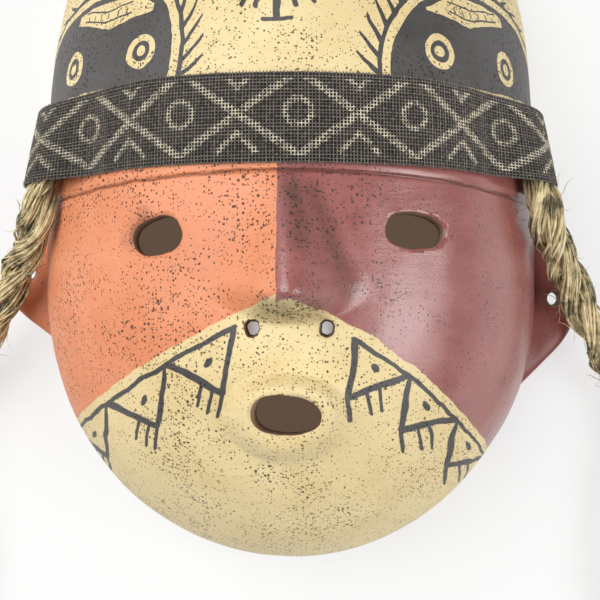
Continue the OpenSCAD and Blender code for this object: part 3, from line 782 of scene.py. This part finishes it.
# EARS
# A flat lug of clay is luted to each side, smoothed into the cheek with the fingers and holed for
# a thread or an ornament. The left one wears the orange slip and the right one the maroon.
EAR_SPAN = 196
EAR_LEVEL = 12.5
EAR_THICK = 9
EAR_HOLE = (91.5, 8)


def ear_edges(x, low):
    """Upper and lower edge of an ear at a distance from the middle of the face."""
    tip = EAR_SPAN / 2
    share = (tip - x) / (tip - 72)
    upper = -2 + 31 * (1 - (1 - min(1, share * 2.2)) ** 2.4) ** 0.6
    lower = -2 - low * share ** 0.8
    return upper, lower


def model_ear(way, drop, low):
    """A rounded lug whose root spreads into the side of the face, closed at its outer edge."""
    ear = bmesh.new()
    around, steps = 56, 40
    made = bmesh.ops.create_grid(ear, x_segments=around, y_segments=steps, size=0.5)["verts"]
    for vert in made:
        part = (vert.co.y + 0.5)
        turn = 2 * math.pi * (vert.co.x + 0.5)
        x = 72 + (EAR_SPAN / 2 - 72) * math.sin(math.pi / 2 * part) ** 0.9
        upper, lower = ear_edges(x, low)
        root = max(0, (86 - x) / 14)
        half_high = (upper - lower) / 2 + 2 * root ** 2
        round_tip = min(1, (EAR_SPAN / 2 - x) / 7)
        half_thick = (EAR_THICK / 2) * (1 - (1 - round_tip) ** 2.4) ** 0.5 + 4.0 * root ** 2
        c, s = math.cos(turn), math.sin(turn)
        square = 2 / 3.2
        across = math.copysign(abs(c) ** square, c) * half_high
        deep = math.copysign(abs(s) ** square, s) * half_thick
        point = Vector((x, (upper + lower) / 2 + across - drop, EAR_LEVEL + deep))
        point += Vector((0, 0.5, 0.35)) * noise.noise(point / 9)
        vert.co = (way * point.x, point.y, point.z)
    bmesh.ops.holes_fill(ear, edges=ear.edges)
    close_mesh(ear)
    return ear


def ear_cutter(way, drop):
    """A plug for the hole through an ear, flared at both faces."""
    plug = bmesh.new()
    levels = [(-9, 4.2), (-4.6, 3.2), (-4.0, 2.6), (-3.0, 2.25), (3.0, 2.25), (4.0, 2.6), (4.6, 3.2), (9, 4.2)]
    made = bmesh.ops.create_grid(plug, x_segments=40, y_segments=len(levels) - 1, size=0.5)["verts"]
    for vert in made:
        level, radius = levels[round((vert.co.y + 0.5) * (len(levels) - 1))]
        turn = 2 * math.pi * (vert.co.x + 0.5)
        vert.co = (way * EAR_HOLE[0] + radius * math.cos(turn), EAR_HOLE[1] - drop + radius * math.sin(turn),
                   EAR_LEVEL + level)
    bmesh.ops.remove_doubles(plug, verts=plug.verts, dist=1e-4)
    bmesh.ops.holes_fill(plug, edges=plug.edges)
    bmesh.ops.recalc_face_normals(plug, faces=plug.faces)
    for one in plug.faces:
        one.smooth = True
        one.material_index = 1
    return plug


# Burnished slip with a few specks, one colour to an ear: orange on the left, and on the right a maroon darker than the
# face's, as painted shade.
for name, way, drop, low_edge, low, high, gloss in (("left", -1, 0, 20, "#CE7A52", "#E29068", 0.46),
                                                    ("right", 1, 9, 27, "#7A3E38", "#934E47", 0.36)):
    ear_slip, tree = new_material(name + "_ear_burnished_slip")
    spot = add(tree, "ShaderNodeTexCoord", (), out=3)
    clouds = add(tree, "ShaderNodeTexNoise", {"Vector": spot, "Scale": 70, "Detail": 5, "Roughness": 0.6})
    clouds = add(tree, "ShaderNodeMapRange", {"Value": clouds, "From Min": 0.3, "From Max": 0.7})
    colour = add(tree, "ShaderNodeMix", {0: clouds, 6: tone(low), 7: tone(high)}, out=2, data_type="RGBA")
    cells = add(tree, "ShaderNodeTexVoronoi", {"Vector": spot, "Scale": 520})
    away, chance = tree.nodes[-1].outputs[0], tree.nodes[-1].outputs[1]
    chance = add(tree, "ShaderNodeSeparateXYZ", [chance])
    grow = add(tree, MATH, [chance, 4], operation="POWER")
    grow = add(tree, MATH, [grow, 0.3], operation="MULTIPLY")
    speck = add(tree, MATH, [away, grow], operation="LESS_THAN")
    speck = add(tree, MATH, [speck, 0.8], operation="MULTIPLY")
    colour = add(tree, "ShaderNodeMix", {0: speck, 6: colour, 7: tone("#33291F")}, out=2, data_type="RGBA")
    rough = add(tree, MATH, [clouds, 0.1, gloss], operation="MULTIPLY_ADD")
    grain = add(tree, "ShaderNodeTexNoise", {"Vector": spot, "Scale": 1500, "Detail": 3})
    bump = add(tree, "ShaderNodeBump", {"Strength": 0.25, "Distance": 0.0002, "Height": grain})
    shader = add(tree, "ShaderNodeBsdfPrincipled", {"Base Color": colour, "Roughness": rough, "Normal": bump})
    add(tree, "ShaderNodeOutputMaterial", {"Surface": shader})

    slot = "orange_clay" if way < 0 else "rose_clay"
    ear = make_piece(name + "_ear_lug", model_ear(way, drop, low_edge), ear_slip, bare_clay, slot=slot)
    cut_out(ear, [ear_cutter(way, drop)])
    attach(ear, "mask")
    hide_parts(name + "_ear")

# BAND GLUE
# A film of dried black glue under the band, which shows as the dark in the gaps of the cloth.
dried_glue, tree = new_material("dried_black_glue")
spot = add(tree, "ShaderNodeTexCoord", (), out=3)
lumps = add(tree, "ShaderNodeTexNoise", {"Vector": spot, "Scale": 300, "Detail": 3})
colour = add(tree, "ShaderNodeMix", {0: lumps, 6: tone("#14130F"), 7: tone("#2A2822")}, out=2, data_type="RGBA")
bump = add(tree, "ShaderNodeBump", {"Strength": 0.5, "Distance": 0.0003, "Height": lumps})
shader = add(tree, "ShaderNodeBsdfPrincipled", {"Base Color": colour, "Roughness": 0.5, "Normal": bump})
add(tree, "ShaderNodeOutputMaterial", {"Surface": shader})
# BAND
# A strip of open plain weave, hand-spun and dyed dark, glued round the brow from rim to rim. A row
# of diamonds, crosses and rings is picked out in pale yarn. It rides up over the rope ends.
BAND_END = math.radians(3.75)
PITCH = 1.0
HUMP_ROOM = 0.9
HUMP_HALF = 25
ARC_RADIUS = (face_width(50) + face_height(50)) / 2


def hump_height(y, angle):
    """How far the band stands off the face over a rope's held end."""
    fold = min(angle, math.pi - angle)
    along = (face_point(y, fold) - face_point(y, ROPE_ANGLE)).length
    if along > HUMP_HALF:
        return 0
    part = (y - BAND_LOW) / BAND_WIDTH
    high = ROOT_WIDTH + (ROOT_TIP_WIDTH - ROOT_WIDTH) * part + HUMP_ROOM
    return high * math.cos(math.pi / 2 * along / HUMP_HALF) ** 2


def sagged(y, angle):
    """The height to which a place of the band sags towards its ends, more on the right."""
    end = max(0, abs(math.pi / 2 - angle) - 0.45) / 1.05
    return y - (5.2 + (7.6 if angle < math.pi / 2 else 5.5) * (y - BAND_LOW) / BAND_WIDTH) * end ** 1.6


def cloth_point(y, angle, lift):
    """A point of the band at a height and angle, with its lift above the glue."""
    low = sagged(y, angle)
    return face_point(low, angle) + face_out(low, angle) * (GLUE + lift + hump_height(y, angle))


def new_cloth():
    """An empty bmesh that notes where each point lies along and across the band, and its yarn."""
    cloth = bmesh.new()
    layers = [cloth.verts.layers.float.new(n) for n in ("along_band", "across_band", "yarn")]
    return cloth, layers


def note(vert, layers, y, angle, yarn):
    for layer, value in zip(layers, (ARC_RADIUS * (math.pi / 2 - angle), y, yarn)):
        vert[layer] = value


def add_yarn(cloth, layers, places, yarn, wide, thick):
    """One yarn through a list of (height, angle, lift), flattened as it lies on the band."""
    last = len(places) - 1
    line = [cloth_point(*place) for place in places]
    made = bmesh.ops.create_grid(cloth, x_segments=4, y_segments=last, size=0.5)["verts"]
    for vert in made:
        step = round((vert.co.y + 0.5) * last)
        turn = 2 * math.pi * (vert.co.x + 0.5 + 0.125)
        y, angle, lift = places[step]
        out = face_out(y, angle)
        heading = (line[min(step + 1, last)] - line[max(step - 1, 0)]).normalized()
        side = heading.cross(out).normalized()
        vert.co = line[step] + side * math.cos(turn) * wide / 1.41 + out * math.sin(turn) * thick / 1.41
        note(vert, layers, y, angle, yarn)


band_angle = math.pi - 2 * BAND_END
ends_count = round(ARC_RADIUS * band_angle / PITCH)
picks_count = round(BAND_WIDTH / PITCH)
YARN_WIDE = 0.54
YARN_THICK = 0.34

# The glue film follows the cloth, but stays on the clay beside the rope ends.
film = bmesh.new()
across_steps, along_steps = 14, 180
made = bmesh.ops.create_grid(film, x_segments=along_steps, y_segments=across_steps, size=0.5)["verts"]
for vert in made:
    angle = BAND_END + band_angle * (0.5 - vert.co.x)
    y = BAND_LOW + BAND_WIDTH / 2 + (BAND_WIDTH - 1.2) * vert.co.y
    y = sagged(y + max(0, -vert.co.y) * 0.7 * hump_height(y, angle), angle)
    vert.co = face_point(y, angle) + face_out(y, angle) * GLUE
bmesh.ops.recalc_face_normals(film, faces=film.faces)
bmesh.ops.solidify(film, geom=film.faces[:], thickness=0.9)
close_mesh(film)
glue = make_piece("dried_glue_film", film, dried_glue, slot="dark_glue")
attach(glue, "mask")
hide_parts("band_glue")

# The ground: one closed thin near-black sheet under the yarns, which fills the gaps between them with dark.
cloth, layers = new_cloth()
made = bmesh.ops.create_grid(cloth, x_segments=along_steps, y_segments=across_steps, size=0.5)["verts"]
for vert in made:
    y = BAND_LOW + 0.4 + (BAND_WIDTH - 0.8) * (vert.co.y + 0.5)
    angle = BAND_END + 0.004 + (band_angle - 0.008) * (0.5 - vert.co.x)
    vert.co = cloth_point(y, angle, 0.35)
    note(vert, layers, y, angle, 0)
bmesh.ops.recalc_face_normals(cloth, faces=cloth.faces)
bmesh.ops.solidify(cloth, geom=cloth.faces[:], thickness=0.2)
close_mesh(cloth)

# Dyed yarn: matt, hairy, near black, with pale yarn where the pattern is. The pattern breaks up
# where pale yarn dives under dark yarn or has worn away.
woven_cloth, tree = new_material("handwoven_dyed_yarn")
s = add(tree, "ShaderNodeAttribute", (), out=2, attribute_name="along_band")
h = add(tree, "ShaderNodeAttribute", (), out=2, attribute_name="across_band")
yarn = add(tree, "ShaderNodeAttribute", (), out=2, attribute_name="yarn")
on_band = add(tree, "ShaderNodeCombineXYZ", [s, h])
ragged = add(tree, "ShaderNodeTexNoise", {"Vector": on_band, "Scale": 0.9, "Detail": 2}, out=1)
ragged = add(tree, VECTOR, [ragged, (0.5, 0.5, 0.5)], operation="SUBTRACT")
on_band = add(tree, VECTOR, [ragged, (1.6, 1.6, 0), on_band], operation="MULTIPLY_ADD")
add(tree, "ShaderNodeSeparateXYZ", [on_band])
s_r, h_r = tree.nodes[-1].outputs[0], tree.nodes[-1].outputs[1]
REPEAT = 35
from_ring = add(tree, MATH, [s_r, 2.5], operation="SUBTRACT")
from_ring = add(tree, MATH, [from_ring, REPEAT / 2], operation="PINGPONG")
height = add(tree, MATH, [h_r, 52], operation="SUBTRACT")
tile = add(tree, "ShaderNodeCombineXYZ", [from_ring, height])
away = add(tree, VECTOR, [tile], out=1, operation="LENGTH")
ring_gap = add(tree, MATH, [away, 3.8], operation="SUBTRACT")
ring_gap = add(tree, MATH, [ring_gap], operation="ABSOLUTE")
ring_gap = add(tree, MATH, [ring_gap, 0.75], operation="SUBTRACT")
cross = [(0, 12, REPEAT / 2, -0.5, 1.05), (0, -12.5, REPEAT / 2, -0.5, 1.05),
         (REPEAT / 2, -6.0, REPEAT / 2 - 5.5, -11.5, 0.75), (REPEAT / 2, 7.0, REPEAT / 2 - 5, 12, 0.75)]
cross_gap = stroke_gap(tree, tile, cross)
pattern_gap = add(tree, MATH, [ring_gap, cross_gap], operation="MINIMUM")
pale = add(tree, "ShaderNodeMapRange", {"Value": pattern_gap, "From Min": 0.35, "From Max": -0.35})
worn = add(tree, "ShaderNodeTexNoise", {"Vector": on_band, "Scale": 0.55, "Detail": 3, "Roughness": 0.7})
worn = add(tree, "ShaderNodeMapRange", {"Value": worn, "From Min": 0.37, "From Max": 0.55, "To Min": 0.1})
pale = add(tree, MATH, [pale, worn], operation="MULTIPLY")
border = add(tree, MATH, [h, BAND_LOW + BAND_WIDTH / 2, BAND_WIDTH / 2 - 2.2], operation="COMPARE")
pale = add(tree, MATH, [pale, border], operation="MULTIPLY")
mottle = add(tree, "ShaderNodeTexNoise", {"Vector": on_band, "Scale": 0.8, "Detail": 3})
mottle = add(tree, MATH, [yarn, 0.35, mottle], operation="MULTIPLY_ADD")
mottle = add(tree, "ShaderNodeMapRange", {"Value": mottle, "From Min": 0.40, "From Max": 0.88})
dark = add(tree, "ShaderNodeMix", {0: mottle, 6: tone("#312C29"), 7: tone("#80776D")}, out=2, data_type="RGBA")
colour = add(tree, "ShaderNodeMix", {0: pale, 6: dark, 7: tone("#DDD4BD")}, out=2, data_type="RGBA")
ground = add(tree, MATH, [yarn, 0.01], operation="LESS_THAN")
colour = add(tree, "ShaderNodeMix", {0: ground, 6: colour, 7: tone("#0F0E0D")}, out=2, data_type="RGBA")
spot = add(tree, "ShaderNodeTexCoord", (), out=3)
twist = add(tree, "ShaderNodeTexNoise", {"Vector": spot, "Scale": 2600, "Detail": 2})
bump = add(tree, "ShaderNodeBump", {"Strength": 0.6, "Distance": 0.0002, "Height": twist})
shader = add(tree, "ShaderNodeBsdfPrincipled", {"Base Color": colour, "Roughness": 0.85, "Normal": bump,
                                               "Sheen Weight": 0.15, "Sheen Roughness": 0.5})
add(tree, "ShaderNodeOutputMaterial", {"Surface": shader})
ground_cloth = make_piece("band_ground", cloth, woven_cloth, slot="band_cloth")

# The yarns cross over and under one another a millimetre apart.
dice = random.Random(7)
cloth, layers = new_cloth()
for pick in range(picks_count):
    places = []
    base = BAND_LOW + (pick + 0.5) * PITCH
    tint = dice.uniform(0.2, 1)
    for i in range(2 * ends_count + 1):
        end_at = i / 2
        angle = BAND_END + band_angle * end_at / ends_count
        drift = 0.16 * noise.noise(Vector((end_at / 11, pick * 3.1, 0)))
        wave = math.cos(math.pi * (end_at + pick - 0.5)) * 0.16
        places.append((base + drift, angle, 0.72 + wave))
    add_yarn(cloth, layers, places, tint, YARN_WIDE / 2 * dice.uniform(0.85, 1.15), YARN_THICK / 2)
close_mesh(cloth)
long_yarns = make_piece("band_long_yarns", cloth, woven_cloth, slot="band_cloth")

cloth, layers = new_cloth()
for end in range(ends_count):
    places = []
    tint = dice.uniform(0.2, 1)
    for i in range(2 * picks_count + 1):
        pick_at = i / 2
        y = BAND_LOW + pick_at * PITCH
        drift = 0.0018 * noise.noise(Vector((pick_at / 9, end * 2.7, 5)))
        wave = -math.cos(math.pi * (end + 0.5 + pick_at - 1.0)) * 0.16
        places.append((y, BAND_END + band_angle * (end + 0.5) / ends_count + drift, 0.72 + wave))
    add_yarn(cloth, layers, places, tint, YARN_WIDE / 2 * dice.uniform(0.85, 1.15), YARN_THICK / 2)
close_mesh(cloth)
cross_yarns = make_piece("band_cross_yarns", cloth, woven_cloth, slot="band_cloth")

for piece in (ground_cloth, long_yarns, cross_yarns):
    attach(piece, "mask")
    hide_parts("headband")

# TABLE
# A plain sheet of opal acrylic just under the rim, which glows evenly as if lit from below, so that it throws hardly
# any shadow.
# Inside the mask's rim its glow is turned down and warmed as painted shade, with a faint white patch below the nose as
# painted light.
table_top, tree = new_material("opal_acrylic")
spot = add(tree, "ShaderNodeTexCoord", (), out=3)
mist = add(tree, "ShaderNodeTexNoise", {"Vector": spot, "Scale": 3})
colour = add(tree, "ShaderNodeMix", {0: mist, 6: tone("#868685"), 7: tone("#8A8A8A")}, out=2, data_type="RGBA")
table_mm = add(tree, "ShaderNodeMapping", {"Vector": spot, "Location": (0, -NOSE_LINE, 0), "Scale": (1 / MM,) * 3})
add(tree, "ShaderNodeSeparateXYZ", [table_mm])
x, y = tree.nodes[-1].outputs[0], tree.nodes[-1].outputs[1]
# Painted shade: inside the outline of the mask's rim the table's glow is turned down and tinted warm.
upper = add(tree, MATH, [y, 0], operation="GREATER_THAN")
power = add(tree, MATH, [upper, CROWN_SQUARE - 2, 2], operation="MULTIPLY_ADD")
rise = add(tree, MATH, [upper, CROWN_RISE - CHIN_DROP, CHIN_DROP - WALL / 2], operation="MULTIPLY_ADD")
share_x = add(tree, MATH, [add(tree, MATH, [x], operation="ABSOLUTE"), HALF_WIDTH - WALL / 2], operation="DIVIDE")
share_y = add(tree, MATH, [add(tree, MATH, [y], operation="ABSOLUTE"), rise], operation="DIVIDE")
share_x = add(tree, MATH, [share_x, power], operation="POWER")
share_y = add(tree, MATH, [share_y, power], operation="POWER")
beyond = add(tree, MATH, [add(tree, MATH, [share_x, share_y], operation="ADD"), 1], operation="GREATER_THAN")
add(tree, "ShaderNodeSeparateXYZ", [table_mm])
# Painted light: a faint patch of white glow on the table below the nose.
painted_light_below_nose = add(tree, VECTOR, [table_mm, (0, -12, 0)], out=1, operation="DISTANCE")
painted_light_below_nose = add(tree, "ShaderNodeMapRange", {"Value": painted_light_below_nose, "From Min": 20, "From Max": 12})
painted_shade_and_light_under_mask = add(tree, MATH, [painted_light_below_nose, 0.40, 0.11], operation="MULTIPLY_ADD")
glow_with_painted_shade = add(tree, "ShaderNodeMix", {0: beyond, 2: painted_shade_and_light_under_mask, 3: 0.66})
white = add(tree, MATH, [beyond, painted_light_below_nose], operation="MAXIMUM")
glow = add(tree, "ShaderNodeMix", {0: white, 6: tone("#FFD3B3"), 7: tone("#FFFFFF")}, out=2, data_type="RGBA")
shader = add(tree, "ShaderNodeBsdfPrincipled", {"Base Color": colour, "Roughness": 0.6,
                                               "Emission Color": glow, "Emission Strength": glow_with_painted_shade})
add(tree, "ShaderNodeOutputMaterial", {"Surface": shader})
table = bmesh.new()
bmesh.ops.create_grid(table, x_segments=8, y_segments=8, size=2.0)
data = bpy.data.meshes.new("table")
table.to_mesh(data)
table.free()
data.materials.append(table_top)
floor = bpy.data.objects.new("table", data)
floor.data.transform(Matrix.Translation((0, 0, -0.0004)))
scene.collection.objects.link(floor)

# LIGHTS
# A large soft window up on the left, a weaker one low on the right, and pale walls all round.
sky = bpy.data.worlds.new("pale_room")
sky.use_nodes = True
sky.node_tree.nodes["Background"].inputs["Color"].default_value = (1, 1, 1, 1)
sky.node_tree.nodes["Background"].inputs["Strength"].default_value = 0.27
scene.world = sky
for name, place, long, high, power in (("left_window", (-0.66, 0.28, 1.00), 1.1, 1.1, 15.5),
                                       ("right_window", (0.84, -0.26, 0.66), 0.75, 0.5, 6.4)):
    lamp = bpy.data.lights.new(name, "AREA")
    lamp.shape = "RECTANGLE"
    lamp.size = long
    lamp.size_y = high
    lamp.energy = power
    holder = bpy.data.objects.new(name, lamp)
    holder.location = place
    holder.rotation_euler = (Vector((0, -0.02, 0.05)) - Vector(place)).to_track_quat("-Z", "Y").to_euler()
    scene.collection.objects.link(holder)
